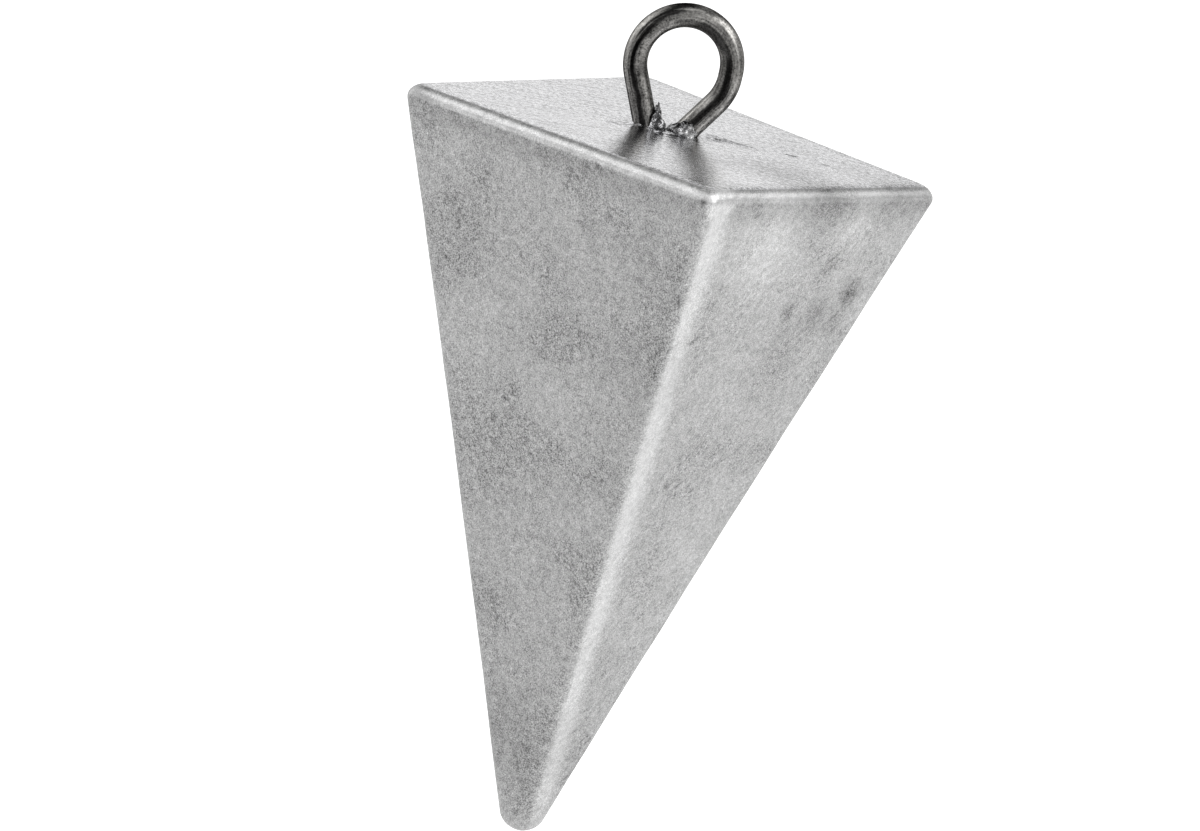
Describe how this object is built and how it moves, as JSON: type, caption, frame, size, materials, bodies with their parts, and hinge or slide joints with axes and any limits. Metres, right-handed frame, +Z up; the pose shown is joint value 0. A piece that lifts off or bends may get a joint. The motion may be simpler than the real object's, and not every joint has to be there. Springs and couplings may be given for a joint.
{
  "type": "pyramid fishing sinker",
  "caption": "Square pyramid surf-fishing sinker, cast point down in lead round a bent steel wire line eye.",
  "frame": {"origin": "centre of the line eye", "axes": "+Z up out of the square top, along the hanging sinker; +Y along the hole of the eye; the corners of the square top point along X and Y"},
  "size_m": [0.0421, 0.042, 0.0684],
  "materials": {
    "cast_lead": "satin as-cast lead, pale grey, faintly mottled",
    "eye_wire": "drawn steel wire, dark grey"
  },
  "bodies": {
    "root": {"lead_body": "cast_lead", "wire_eye": "eye_wire"}
  },
  "joints": []
}
